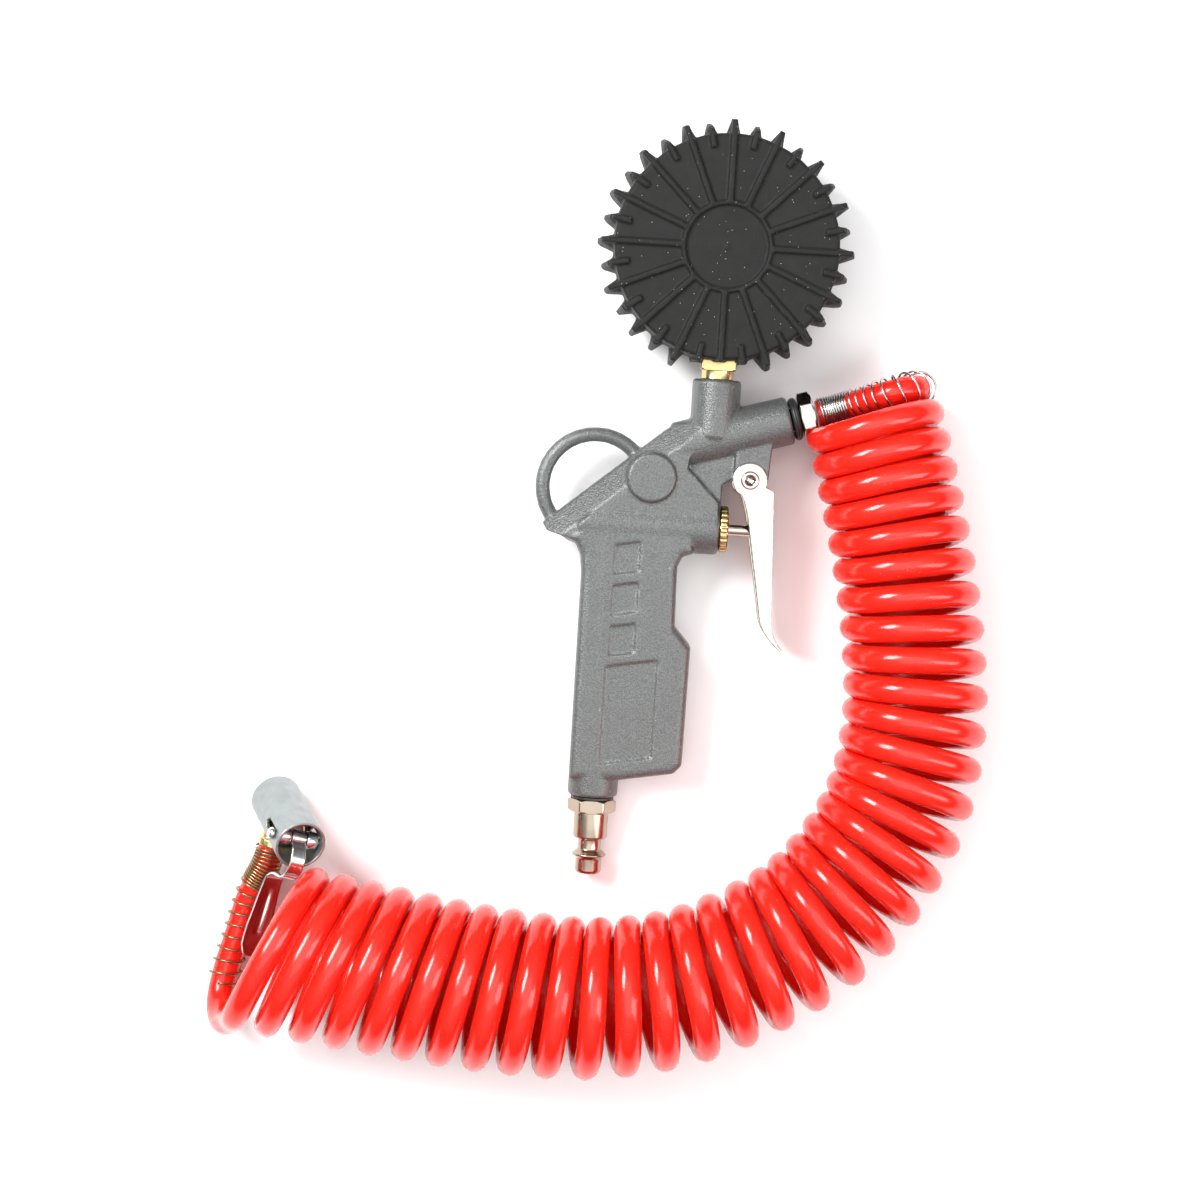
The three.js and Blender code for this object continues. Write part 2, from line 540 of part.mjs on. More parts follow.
// The lever, with its pin at the origin: an eye, an arm above the hose and a claw inside the sleeve.
function chuckLever() {
  const eye = new THREE.CylinderGeometry(2.9, 2.9, 5.4, 20).rotateZ(Math.PI / 2);
  const neck = bentStrip([[0, 2], [-2.2, 5.6], [-5.5, 7.9], [-10, 8], [-13.4, 5.4], [-16.4, -2],
    [-19, -4.2]], 1.2, 5.6);
  const paddle = bentStrip([[-16, -1.2], [-17, -3.2], [-19.4, -4.6], [-23, -4.4], [-45, 1], [-49, 3.4]],
    1.2, 9.6);
  const claw = bentStrip([[0, -1], [3, -3.2], [5.2, -6.5], [5.2, -12]], 1.2, 4);
  const pinHole = new THREE.CylinderGeometry(CHUCK_PIN_RADIUS + GAP, CHUCK_PIN_RADIUS + GAP, 20, 16)
    .rotateZ(Math.PI / 2);
  return geometryOf(carve(joined(eye, neck, paddle, claw), pinHole));
}

function addChuck(assembly) {
  const across = new THREE.Vector3().crossVectors(CHUCK_AXIS, TAIL_DIRECTION).normalize();
  const away = new THREE.Vector3().crossVectors(CHUCK_AXIS, across);
  const chuck = new THREE.Group();
  chuck.position.copy(CHUCK_REAR);
  chuck.setRotationFromMatrix(new THREE.Matrix4().makeBasis(across, away, CHUCK_AXIS));
  assembly.add(chuck);
  piece(chuck, 'chuck_body', chuckBody(), zinc);
  piece(chuck, 'chuck_core', chuckCore(), brass);
  piece(chuck, 'chuck_pin', alongX(turned([[0, -11.2], [2.2, -11.2], [2.2, -9.7], [CHUCK_PIN_RADIUS, -9.7],
    [CHUCK_PIN_RADIUS, 9.7], [2.2, 9.7], [2.2, 11.2], [0, 11.2]], 14)), zinc).position.z = CHUCK_PIN_Z;
  piece(chuck, 'chuck_lever', chuckLever(), zinc).position.z = CHUCK_PIN_Z;
  piece(chuck, 'chuck_spring', alongX(turned([[1.9, 3.2], [2.7, 3.2], [2.7, 6.4], [1.9, 6.4], [1.9, 3.2]],
    12)), springSteel).position.z = CHUCK_PIN_Z;
  piece(chuck, 'chuck_seal', alongZ(turned([[2.2, -27], [3.9, -27], [3.9, -23.3], [2.2, -23.3], [2.2, -27]],
    16)).translate(0, CORE_OFFSET, 0), rubber);
  piece(chuck, 'chuck_depressor', alongZ(turned([[0, -30], [1.2, -30], [1.6, -29.6], [1.6, -23.3],
    [0, -23.3]], 10)).translate(0, CORE_OFFSET, 0), brass);
  return chuck;
}

// ---------------------------------------------------------------- the hose
function coilLean(along) {
  const next = Math.max(1, COIL_LEAN.findIndex(([share]) => share >= along));
  const [[startShare, startLean], [endShare, endLean]] = COIL_LEAN.slice(next - 1, next + 1);
  return THREE.MathUtils.mapLinear(along, startShare, endShare, startLean, endLean);
}

// A round bar whose radius changes along a level route, so that it always rests on the bench.
function coilSolid() {
  const axis = curveThrough(COIL_AXIS.map(([x, y]) => [x, y, 0]));
  const geometry = new THREE.CylinderGeometry(1, 1, 1, 14, 36);
  const position = geometry.attributes.position;
  const centre = new THREE.Vector3();
  for (let i = 0; i < position.count; i += 1) {
    const along = THREE.MathUtils.lerp(...COIL_SHARE, 0.5 - position.getY(i));
    axis.getPointAt(along, centre);
    const heading = axis.getTangentAt(along);
    const radius = HOSE_RADIUS + THREE.MathUtils.lerp(COIL_RADIUS_START, COIL_RADIUS_END, along);
    const side = radius * position.getX(i);
    const ahead = side * Math.tan(THREE.MathUtils.degToRad(coilLean(along)));
    position.setXYZ(i, centre.x - heading.y * side + heading.x * ahead,
      centre.y + heading.x * side + heading.y * ahead, radius * (1 + position.getZ(i)));
  }
  return geometry;
}

function addHose(assembly, gun, chuck) {
  gun.updateMatrix();
  chuck.updateMatrix();
  const gunExits = [10, 16].map((along) => new THREE.Vector3(...HOSE_PORT_END, 0)
    .add(new THREE.Vector3(Math.cos(HOSE_ANGLE), Math.sin(HOSE_ANGLE), 0).multiplyScalar(along))
    .applyMatrix4(gun.matrix).toArray());
  const tailExits = [14.4, 20].map((along) => new THREE.Vector3(0, -Math.cos(TAIL_RISE), Math.sin(TAIL_RISE))
    .multiplyScalar(along).add(new THREE.Vector3(0, 0, TAIL_Z)).applyMatrix4(chuck.matrix).toArray());
  const gunRoute = curveThrough([...gunExits, ...GUN_LEAD]);
  piece(assembly, 'hose_lead_gun', hoseTube(gunRoute, 26), polyurethane);
  piece(assembly, 'hose_coil', coilSolid(), polyurethane);
  const chuckRoute = curveThrough([...tailExits, ...CHUCK_LEAD]);
  piece(assembly, 'hose_lead_chuck', hoseTube(chuckRoute, 12), polyurethane);
  const guards = [['guard_spring_gun', gunRoute, 0.72, 16, springSteel],
    ['guard_spring_chuck', chuckRoute, 0.76, 10, brassedSteel]];
  for (const [name, route, share, steps, material] of guards) {
    const covered = curveThrough(route.getSpacedPoints(30)
      .filter((point, index) => index <= 30 * share).map((point) => point.toArray()));
    piece(assembly, name, guardSleeve(covered, steps), material);
  }
}

// ---------------------------------------------------------------- the whole
const assembly = new THREE.Group();
assembly.position.set(...ASSEMBLY_PLACE);
const gun = new THREE.Group();
gun.position.z = GUN_HEIGHT;
gun.rotation.x = GUN_TILT;
assembly.add(gun);
piece(gun, 'gun_body', gunBody(), castPaint);
addValve(gun);
addLever(gun);
addInlet(gun);
addGauge(gun);
addHoseEnd(gun);
const chuck = addChuck(assembly);
addHose(assembly, gun, chuck);

const inflator = new THREE.Group();
inflator.add(assembly);

export default inflator;
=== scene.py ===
"""A tyre inflator pistol with a booted gauge and a spiral hose, lying on a pale bench.

Sizes are in millimetres in the pieces' own frames and become metres when a mesh is made.
"""
import json
import math

import bpy
import numpy as np
from mathutils import Matrix, Vector


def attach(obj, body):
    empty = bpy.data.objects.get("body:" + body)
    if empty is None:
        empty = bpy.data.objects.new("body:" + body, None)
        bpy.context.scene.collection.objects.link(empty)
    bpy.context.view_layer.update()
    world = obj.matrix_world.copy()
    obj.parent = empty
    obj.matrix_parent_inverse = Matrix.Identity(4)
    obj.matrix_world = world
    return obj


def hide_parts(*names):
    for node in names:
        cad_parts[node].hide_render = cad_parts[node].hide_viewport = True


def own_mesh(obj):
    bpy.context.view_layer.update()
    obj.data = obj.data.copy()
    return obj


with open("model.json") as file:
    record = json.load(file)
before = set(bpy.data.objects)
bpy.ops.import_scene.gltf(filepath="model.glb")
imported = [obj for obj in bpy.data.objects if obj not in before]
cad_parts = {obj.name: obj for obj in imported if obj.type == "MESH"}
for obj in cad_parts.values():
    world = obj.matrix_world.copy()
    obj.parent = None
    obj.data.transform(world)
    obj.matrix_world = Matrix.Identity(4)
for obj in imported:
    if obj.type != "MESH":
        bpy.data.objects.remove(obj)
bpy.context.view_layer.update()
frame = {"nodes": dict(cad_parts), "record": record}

# ---------------------------------------------------------------- the frames, as in the part's source
MM = 0.001
ASSEMBLY = Matrix.Scale(MM, 4) @ Matrix.Translation((-12.95, 8.49, 0))
GUN = ASSEMBLY @ Matrix.Translation((0, 0, 17.78)) @ Matrix.Rotation(math.radians(4.2), 4, "X")

HEXAGON = 15.4                         # across the flats of both hexagons
HOSE_PORT_END = (49.2, 23.7)
HOSE_ANGLE = math.radians(16.5)
INLET = (-14.5, -118.2)
VALVE_FACE = (25.6, -17.6)
PIVOT = (35.6, 1.1)
GAUGE = (21.7, 84)

CHUCK_REAR = Vector((-117.6, -140.4, 36))
CHUCK_AXIS = Vector((0.386, -0.405, 0.829)).normalized()
TAIL_DIRECTION = Vector((-0.224, -0.975, -0.04)).normalized()
TAIL_RISE = math.pi / 2 - CHUCK_AXIS.angle(TAIL_DIRECTION)
TAIL_Z = -26
CHUCK_PIN_Z = -5.5


def chuck_frame():
    across = CHUCK_AXIS.cross(TAIL_DIRECTION).normalized()
    away = CHUCK_AXIS.cross(across)
    turn = Matrix((across, away, CHUCK_AXIS)).transposed().to_4x4()
    return ASSEMBLY @ Matrix.Translation(CHUCK_REAR) @ turn


CHUCK = chuck_frame()
ALONG_X = Matrix.Rotation(-math.pi / 2, 4, "Z")
ALONG_Z = Matrix.Rotation(math.pi / 2, 4, "X")
HOSE_END = GUN @ Matrix.Translation((*HOSE_PORT_END, 0)) @ Matrix.Rotation(HOSE_ANGLE - math.pi / 2, 4, "Z")
INLET_END = GUN @ Matrix.Translation((*INLET, 0)) @ Matrix.Rotation(math.pi, 4, "Z")
VALVE = GUN @ Matrix.Translation((*VALVE_FACE, 0)) @ ALONG_X
LEVER_PIN = GUN @ Matrix.Translation((*PIVOT, 0)) @ ALONG_Z
GAUGE_FRAME = GUN @ Matrix.Translation((*GAUGE, 0))

# ---------------------------------------------------------------- the hose's facts
HOSE_RADIUS = 4.75
COIL_TURNS = 35
COIL_RADIUS = [(0, 20.9), (0.25, 21.6), (0.65, 24.2), (1, 27.1)]
COIL_LEAN = [(0, -7.6), (0.25, 0), (0.77, 0), (1, 14)]
COIL_PITCH = [(0, 9.7), (0.07, 9.9), (0.17, 11.2), (0.35, 11.1), (0.55, 12.5), (0.7, 12.2),
              (0.82, 11.3), (1, 11.3)]
COIL_FROM = math.radians(70)           # where the lead joins the first turn, past its outer point
POINTS_PER_TURN = 28
LINE_SPACING = 1.6                     # between the points of the finished hose line
BLEND_POINTS = 4                       # of the coil's points at each end, taken into a lead's curve

GUARD_WIRE = 0.42                      # the guard springs' wire, by its radius
GUARD_PITCH = 1.15                     # where they are close-wound
GUARD_GAP = 0.15                       # between the hose's skin and the wire
GUARD_POINTS = 20                      # to a turn

# The routes, laid on the bench, in the assembly's millimetres.
GUN_LEAD = [(72, 30.7, 23), (79, 33, 28.2), (85, 35, 31.8), (90.5, 36.8, 31.2), (94.3, 37.5, 26.8),
            (95.6, 37.4, 20.4), (94.6, 36.4, 13.6), (91.2, 34.6, 8.6)]
COIL_AXIS = [(77.6, 29.8), (86, 1), (93, -27), (98, -55), (100, -83), (96, -112), (85, -136), (67, -158),
             (45, -173), (20, -184), (-10, -189.5), (-45, -188.5), (-85, -184), (-128, -178)]
CHUCK_LEAD = [(-138.5, -163, 9.2), (-142, -177, 7.8), (-145, -188, 7.2), (-146.7, -196.5, 7.8),
              (-146.8, -203, 11.2), (-145, -206.8, 17.5), (-141.8, -207, 26)]


# ---------------------------------------------------------------- lines
def curved(points, pieces=14):
    """A smooth line through the points, by centripetal Catmull-Rom."""
    points = [np.array(p, float) for p in points]
    points = [2 * points[0] - points[1], *points, 2 * points[-1] - points[-2]]
    line = []
    for a, b, c, d in zip(points, points[1:], points[2:], points[3:]):
        times = [0.0]
        for start, end in ((a, b), (b, c), (c, d)):
            times.append(times[-1] + max(np.linalg.norm(end - start), 1e-6) ** 0.5)
        t0, t1, t2, t3 = times
        for step in range(pieces):
            t = t1 + (t2 - t1) * step / pieces
            ab = (t1 - t) / (t1 - t0) * a + (t - t0) / (t1 - t0) * b
            bc = (t2 - t) / (t2 - t1) * b + (t - t1) / (t2 - t1) * c
            cd = (t3 - t) / (t3 - t2) * c + (t - t2) / (t3 - t2) * d
            abc = (t2 - t) / (t2 - t0) * ab + (t - t0) / (t2 - t0) * bc
            bcd = (t3 - t) / (t3 - t1) * bc + (t - t1) / (t3 - t1) * cd
            line.append((t2 - t) / (t2 - t1) * abc + (t - t1) / (t2 - t1) * bcd)
    line.append(points[-2])
    return np.array(line)


def lengths(line):
    """How far along the line each point is."""
    return np.concatenate([[0], np.cumsum(np.linalg.norm(np.diff(line, axis=0), axis=1))])


def spaced(line, spacing):
    """The same line, with its points evenly spaced."""
    along = lengths(line)
    marks = np.linspace(0, along[-1], max(2, round(along[-1] / spacing) + 1))
    return np.column_stack([np.interp(marks, along, line[:, axis]) for axis in range(line.shape[1])])


def eased(line, rounds):
    """Rounds off kinks; the ends stay where they are."""
    line = line.copy()
    for _ in range(rounds):
        line[1:-1] += 0.5 * ((line[:-2] + line[2:]) / 2 - line[1:-1])
    return line


def at_share(pairs, share):
    """The value at a share from 0 to 1, between (share, value) pairs."""
    shares, values = zip(*pairs)
    return np.interp(share, shares, values)


def placed(frame_matrix, points):
    """Points of another frame, in metres in the row's frame."""
    return np.array([frame_matrix @ Vector(p) for p in points])


def assembly_points(frame_matrix, points):
    """Points of another frame, in the assembly's millimetres."""
    back = ASSEMBLY.inverted() @ frame_matrix
    return [tuple(back @ Vector(p)) for p in points]


def coil_line():
    """The wound turns: over the top from the inner side to the outer side, then under."""
    axis = spaced(curved(COIL_AXIS), 1.0)
    shares = np.linspace(0, 1, len(axis))
    headings = np.gradient(axis, axis=0)
    headings /= np.linalg.norm(headings, axis=1)[:, None]
    turned_by = np.concatenate([[0], np.cumsum(1 / at_share(COIL_PITCH, shares[1:]))])
    turned_by *= 2 * math.pi * COIL_TURNS / turned_by[-1]
    angles = np.arange(COIL_FROM, 2 * math.pi * COIL_TURNS, 2 * math.pi / POINTS_PER_TURN)
    share = np.interp(angles, turned_by, shares)
    centre = np.column_stack([np.interp(share, shares, axis[:, i]) for i in range(2)])
    heading = np.column_stack([np.interp(share, shares, headings[:, i]) for i in range(2)])
    outward = np.column_stack([-heading[:, 1], heading[:, 0]])
    radius = at_share(COIL_RADIUS, share)
    side = radius * np.cos(angles)
    ahead = side * np.tan(np.radians(at_share(COIL_LEAN, share)))
    level = centre + outward * side[:, None] + heading * ahead[:, None]
    height = HOSE_RADIUS + radius - radius * np.sin(angles)
    return np.column_stack([level, height])


def gun_route():
    exits = [(HOSE_PORT_END[0] + along * math.cos(HOSE_ANGLE),
              HOSE_PORT_END[1] + along * math.sin(HOSE_ANGLE), 0) for along in (10, 16)]
    return [*assembly_points(GUN, exits), *GUN_LEAD]


def chuck_route():
    exits = [(0, -along * math.cos(TAIL_RISE), TAIL_Z + along * math.sin(TAIL_RISE)) for along in (14.4, 20)]
    return [*assembly_points(CHUCK, exits), *CHUCK_LEAD]


# ---------------------------------------------------------------- meshes
def make(name, vertices, faces, place, finish, body="pistol", stands_for=(), smooth=True):
    """A new piece from local vertices, placed in the row frame."""
    mesh = bpy.data.meshes.new(name)
    mesh.from_pydata([place @ Vector(v) for v in vertices], [], faces)
    mesh.validate()
    mesh.polygons.foreach_set("use_smooth", [smooth] * len(mesh.polygons))
    return as_piece(name, mesh, finish, body, stands_for)


def as_piece(name, data, finish, body, stands_for=()):
    piece = bpy.data.objects.new(name, data)
    bpy.context.scene.collection.objects.link(piece)
    data.materials.clear()
    data.materials.append(FINISH[finish])
    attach(piece, body)
    if stands_for:
        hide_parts(*stands_for)
    return piece


def filleted(profile, fillet=0.25, steps=3):
    """Rounds each corner of a profile by a small arc-like curve."""
    points = [np.array(p, float) for p in profile]
    result = [points[0]]
    for before, corner, after in zip(points, points[1:], points[2:]):
        back, ahead = before - corner, after - corner
        reach = min(fillet, 0.45 * np.linalg.norm(back), 0.45 * np.linalg.norm(ahead))
        start = corner + back / max(np.linalg.norm(back), 1e-9) * reach
        end = corner + ahead / max(np.linalg.norm(ahead), 1e-9) * reach
        for step in range(steps + 1):
            t = step / steps
            result.append((1 - t) ** 2 * start + 2 * t * (1 - t) * corner + t * t * end)
    result.append(points[-1])
    return [tuple(p) for p in result]


def turned(profile, sides=72, shape=None):
    """A solid turned about Y from (radius, y) points. shape(angle, radius, y) may change a radius."""
    vertices = []
    for radius, y in profile:
        for side in range(sides):
            angle = 2 * math.pi * side / sides
            r = shape(angle, radius, y) if shape else radius
            vertices.append((r * math.sin(angle), y, r * math.cos(angle)))
    faces = []
    for ring in range(len(profile) - 1):
        for side in range(sides):
            after = (side + 1) % sides
            a, b = ring * sides + side, ring * sides + after
            faces.append((a, b, b + sides, a + sides))
    faces.append(tuple(reversed(range(sides))))
    last = (len(profile) - 1) * sides
    faces.append(tuple(range(last, last + sides)))
    return vertices, faces


def polygon_limit(across_flats, corners, turn=0.0):
    """A shape for turned(): no radius passes the sides of a regular polygon."""
    def limit(angle, radius, _y):
        sector = 2 * math.pi / corners
        off = (angle - turn + sector / 2) % sector - sector / 2
        return min(radius, across_flats / 2 / math.cos(off))
    return limit


def swept(line, radius, sides=10):
    """A round bar along a line, with closed ends."""
    line = np.asarray(line, float)
    tangents = np.gradient(line, axis=0)
    tangents /= np.linalg.norm(tangents, axis=1)[:, None]
    normal = np.cross(tangents[0], (0, 0, 1))
    if np.linalg.norm(normal) < 1e-3:
        normal = np.cross(tangents[0], (0, 1, 0))
    vertices = []
    for point, tangent in zip(line, tangents):
        normal = normal - tangent * np.dot(normal, tangent)
        normal /= np.linalg.norm(normal)
        other = np.cross(tangent, normal)
        for side in range(sides):
            angle = 2 * math.pi * side / sides
            vertices.append(point + radius * (math.cos(angle) * normal + math.sin(angle) * other))
    faces = []
    for ring in range(len(line) - 1):
        for side in range(sides):
            a = ring * sides + side
            b = ring * sides + (side + 1) % sides
            faces.append((a, b, b + sides, a + sides))
    faces.append(tuple(reversed(range(sides))))
    last = (len(line) - 1) * sides
    faces.append(tuple(range(last, last + sides)))
    return [tuple(v) for v in vertices], faces


def box_mesh(low, high):
    vertices = [(x, y, z) for x in (low[0], high[0]) for y in (low[1], high[1]) for z in (low[2], high[2])]
    faces = [(0, 1, 3, 2), (4, 6, 7, 5), (0, 4, 5, 1), (2, 3, 7, 6), (0, 2, 6, 4), (1, 5, 7, 3)]
    return vertices, faces


def softened(node, voxel, rounds, finish, body="pistol"):
    """A CAD solid with its edges rounded off, as a casting or a moulding has them."""
    piece = bpy.data.objects.new(node + "_soft", frame["nodes"][node].data.copy())
    bpy.context.scene.collection.objects.link(piece)
    remesh = piece.modifiers.new("voxels", "REMESH")
    remesh.mode = "VOXEL"
    remesh.voxel_size = voxel * MM
    smooth = piece.modifiers.new("round", "SMOOTH")
    smooth.factor = 0.5
    smooth.iterations = rounds
    bpy.context.view_layer.update()
    result = bpy.data.meshes.new_from_object(piece.evaluated_get(bpy.context.evaluated_depsgraph_get()))
    bpy.data.objects.remove(piece)
    result.polygons.foreach_set("use_smooth", [True] * len(result.polygons))
    return as_piece(node + "_soft", result, finish, body, (node,))


# ---------------------------------------------------------------- materials
class Surface:
    """One Principled material, built up a feature at a time. Feature sizes are in millimetres."""

    def __init__(self, name, color, roughness, metallic=0.0, **sockets):
        self.material = bpy.data.materials.new(name)
        self.material.use_nodes = True
        self.nodes = self.material.node_tree.nodes
        self.links = self.material.node_tree.links
        self.shader = self.nodes["Principled BSDF"]
        self.color = color
        self.shader.inputs["Base Color"].default_value = (*color, 1)
        self.shader.inputs["Roughness"].default_value = roughness
        self.shader.inputs["Metallic"].default_value = metallic
        for socket, value in sockets.items():
            self.shader.inputs[socket.replace("_", " ")].default_value = value
        self.place = self.nodes.new("ShaderNodeTexCoord").outputs["Object"]
        self.last_bump = None

    def pattern(self, kind, size, **settings):
        node = self.nodes.new("ShaderNodeTex" + kind)
        node.inputs["Scale"].default_value = 1 / (size * MM)
        for socket, value in settings.items():
            node.inputs[socket.capitalize()].default_value = value
        self.links.new(self.place, node.inputs["Vector"])
        return node.outputs["Distance" if kind == "Voronoi" else 0]

    def ramp(self, value, stops):
        node = self.nodes.new("ShaderNodeValToRGB")
        elements = node.color_ramp.elements
        for element, (position, color) in zip(elements, (stops[0], stops[-1])):
            element.position = position
            element.color = color if len(color) == 4 else (*color, 1)
        for position, color in stops[1:-1]:
            elements.new(position).color = color if len(color) == 4 else (*color, 1)
        self.links.new(value, node.inputs["Fac"])
        return node.outputs["Color"]

    def mix(self, factor, first, second, blend="MIX"):
        node = self.nodes.new("ShaderNodeMix")
        node.data_type = "RGBA"
        node.blend_type = blend
        for socket, value in zip((node.inputs[0], node.inputs[6], node.inputs[7]), (factor, first, second)):
            if isinstance(value, bpy.types.NodeSocket):
                self.links.new(value, socket)
            else:
                socket.default_value = value if isinstance(value, float) else (*value, 1)
        return node.outputs[2]

    def scaled(self, value, low, high):
        node = self.nodes.new("ShaderNodeMapRange")
        node.inputs["To Min"].default_value = low
        node.inputs["To Max"].default_value = high
        self.links.new(value, node.inputs["Value"])
        return node.outputs["Result"]

    def paint(self, color):
        self.links.new(color, self.shader.inputs["Base Color"])
        return self

    def shine(self, value):
        self.links.new(value, self.shader.inputs["Roughness"])
        return self

    def bump(self, height, depth, strength=1.0):
        node = self.nodes.new("ShaderNodeBump")
        node.inputs["Strength"].default_value = strength
        node.inputs["Distance"].default_value = depth * MM
        self.links.new(height, node.inputs["Height"])
        if self.last_bump:
            self.links.new(self.last_bump, node.inputs["Normal"])
        self.last_bump = node.outputs["Normal"]
        self.links.new(self.last_bump, self.shader.inputs["Normal"])
        return self

    def edges(self):
        """High on outer edges and low in corners, from the mesh's own curvature."""
        return self.nodes.new("ShaderNodeNewGeometry").outputs["Pointiness"]


def cast_paint():
    """Silver-grey paint with a sandy grain, and a painted highlight along the casting's outer edges."""
    s = Surface("cast_paint", (0.15, 0.155, 0.153), 0.38, 0.4)
    grain = s.pattern("Noise", 0.52, detail=1.0)
    clouds = s.pattern("Noise", 14, detail=3.0)
    tone = s.mix(s.scaled(clouds, 0.1, 0.9), (0.128, 0.133, 0.131), (0.163, 0.169, 0.166))
    flakes = s.ramp(grain, [(0.38, (0.38, 0.39, 0.39)), (0.62, (1, 1, 1))])
    speckled = s.mix(0.55, tone, flakes, "MULTIPLY")
    # Painted highlight: the casting's outer edges are painted a lighter grey, standing in for light catching
    # them.
    edge_highlight = s.ramp(s.edges(), [(0.55, (0, 0, 0)), (0.66, (0.55, 0.55, 0.55))])
    s.paint(s.mix(edge_highlight, speckled, (0.34, 0.35, 0.35)))
    s.shine(s.scaled(grain, 0.26, 0.46))
    s.bump(grain, 0.18, 1.0)
    return s.bump(s.pattern("Noise", 2.6, detail=2.0), 0.10, 0.5).material


def plated(name, color, roughness, grain_size=0.5):
    """Bright plate: faint handling marks in the shine and a trace of unevenness."""
    s = Surface(name, color, roughness, 1.0)
    marks = s.pattern("Noise", 3.5, detail=5.0)
    s.shine(s.scaled(marks, roughness * 0.6, roughness * 1.7))
    dark = tuple(0.8 * c for c in color)
    s.paint(s.mix(s.scaled(s.pattern("Noise", 9, detail=3.0), 0.0, 1.0), dark, color))
    return s.bump(s.pattern("Noise", grain_size, detail=3.0), 0.012, 0.5).material


def boot_rubber():
    """Matt black moulded rubber with dust, fine white specks and a painted highlight along its outer edges.
    """
    s = Surface("boot_rubber", (0.014, 0.0145, 0.0135), 0.6)
    s.shader.inputs["Specular IOR Level"].default_value = 0.22
    s.shader.inputs["Sheen Weight"].default_value = 0.04
    s.shader.inputs["Sheen Roughness"].default_value = 0.5
    dust = s.scaled(s.pattern("Noise", 11, detail=6.0), 0.0, 0.55)
    tone = s.mix(dust, (0.007, 0.0075, 0.0068), (0.019, 0.0195, 0.018))
    specks = s.ramp(s.pattern("Voronoi", 2.2), [(0.05, (0.7, 0.7, 0.7)), (0.075, (0, 0, 0))])
    # Painted highlight: the boot's outer edges and rib crests are painted lighter, standing in for light
    # catching them.
    rubber_edge_highlight = s.ramp(s.edges(), [(0.54, (0, 0, 0)), (0.64, (0.35, 0.35, 0.35))])
    tone = s.mix(rubber_edge_highlight, tone, (0.055, 0.056, 0.053))
    s.paint(s.mix(specks, tone, (0.5, 0.5, 0.5)))
    s.shine(s.scaled(s.pattern("Noise", 5, detail=3.0), 0.5, 0.75))
    return s.bump(s.pattern("Noise", 0.5, detail=3.0), 0.08, 0.8).material


def seal_rubber():
    """Smooth black rubber of the seals and the O-ring."""
    s = Surface("seal_rubber", (0.02, 0.02, 0.021), 0.35)
    s.shine(s.scaled(s.pattern("Noise", 1.5, detail=3.0), 0.25, 0.5))
    return s.bump(s.pattern("Noise", 0.4), 0.01, 0.5).material


def hose_red():
    """Glossy red polyurethane with a clear skin, a little soft underneath."""
    s = Surface("hose_red", (0.8, 0.018, 0.008), 0.18, IOR=1.45)
    s.shader.inputs["Coat Weight"].default_value = 0.12
    s.shader.inputs["Coat Roughness"].default_value = 0.06
    s.shader.inputs["Subsurface Weight"].default_value = 0.85
    s.shader.inputs["Subsurface Scale"].default_value = 0.006
    s.shader.inputs["Subsurface Radius"].default_value = (1.0, 0.14, 0.1)
    tone = s.mix(s.scaled(s.pattern("Noise", 18, detail=3.0), 0.0, 1.0), (0.7, 0.013, 0.006),
                 (0.86, 0.022, 0.01))
    dust = s.ramp(s.pattern("Noise", 0.8, detail=1.0), [(0.76, (0, 0, 0)), (0.8, (0.25, 0.25, 0.25))])
    s.paint(s.mix(dust, tone, (0.9, 0.55, 0.5)))
    s.shine(s.scaled(s.pattern("Noise", 6, detail=4.0), 0.1, 0.26))
    return s.bump(s.pattern("Noise", 3.0, detail=2.0), 0.05, 0.35).material


def dial_enamel():
    """Off-white enamel, faintly uneven."""
    s = Surface("dial_enamel", (0.86, 0.86, 0.83), 0.4)
    s.paint(s.mix(s.pattern("Noise", 8, detail=2.0), (0.84, 0.84, 0.81), (0.9, 0.9, 0.87)))
    return s.bump(s.pattern("Noise", 0.5), 0.004, 0.4).material


def pointer_red():
    """Thin red paint."""
    s = Surface("pointer_red", (0.6, 0.02, 0.015), 0.35)
    s.paint(s.mix(s.pattern("Noise", 4, detail=2.0), (0.55, 0.015, 0.012), (0.65, 0.03, 0.02)))
    return s.bump(s.pattern("Noise", 0.3), 0.006, 0.4).material


def lens():
    """Clear moulded plastic with a handled surface."""
    s = Surface("lens", (0.95, 0.97, 0.98), 0.05, IOR=1.49)
    s.shader.inputs["Transmission Weight"].default_value = 1.0
    return s.shine(s.scaled(s.pattern("Noise", 6, detail=4.0), 0.02, 0.09)).material


def dial_ink():
    """Printed black of the scale."""
    s = Surface("dial_ink", (0.02, 0.02, 0.022), 0.5)
    return s.bump(s.pattern("Noise", 0.2), 0.003, 0.4).material


FINISH = {
    "cast_paint": cast_paint(),
    "nickel": plated("nickel", (0.62, 0.57, 0.51), 0.14),
    "zinc": plated("zinc", (0.38, 0.41, 0.41), 0.42),
    "brass": plated("brass", (0.72, 0.56, 0.27), 0.22),
    "spring_steel": plated("spring_steel", (0.6, 0.6, 0.59), 0.2),
    "brassed_steel": plated("brassed_steel", (0.32, 0.22, 0.11), 0.25),
    "boot_rubber": boot_rubber(),
    "seal_rubber": seal_rubber(),
    "dial_enamel": dial_enamel(),
    "dial_ink": dial_ink(),
    "pointer_red": pointer_red(),
    "lens": lens(),
    "hose_red": hose_red(),
    "worn_nickel": plated("worn_nickel", (0.42, 0.345, 0.27), 0.2),
    "bright_zinc": plated("bright_zinc", (0.64, 0.65, 0.65), 0.17),
}


# ---------------------------------------------------------------- camera, floor and light
CAMERA_PLACE = (-0.02897, -0.03751, 0.950)
CAMERA_TURN = math.radians(3.5)
FLOOR_REACH = 40                       # metres each way, so that the floor's end stays at the horizon


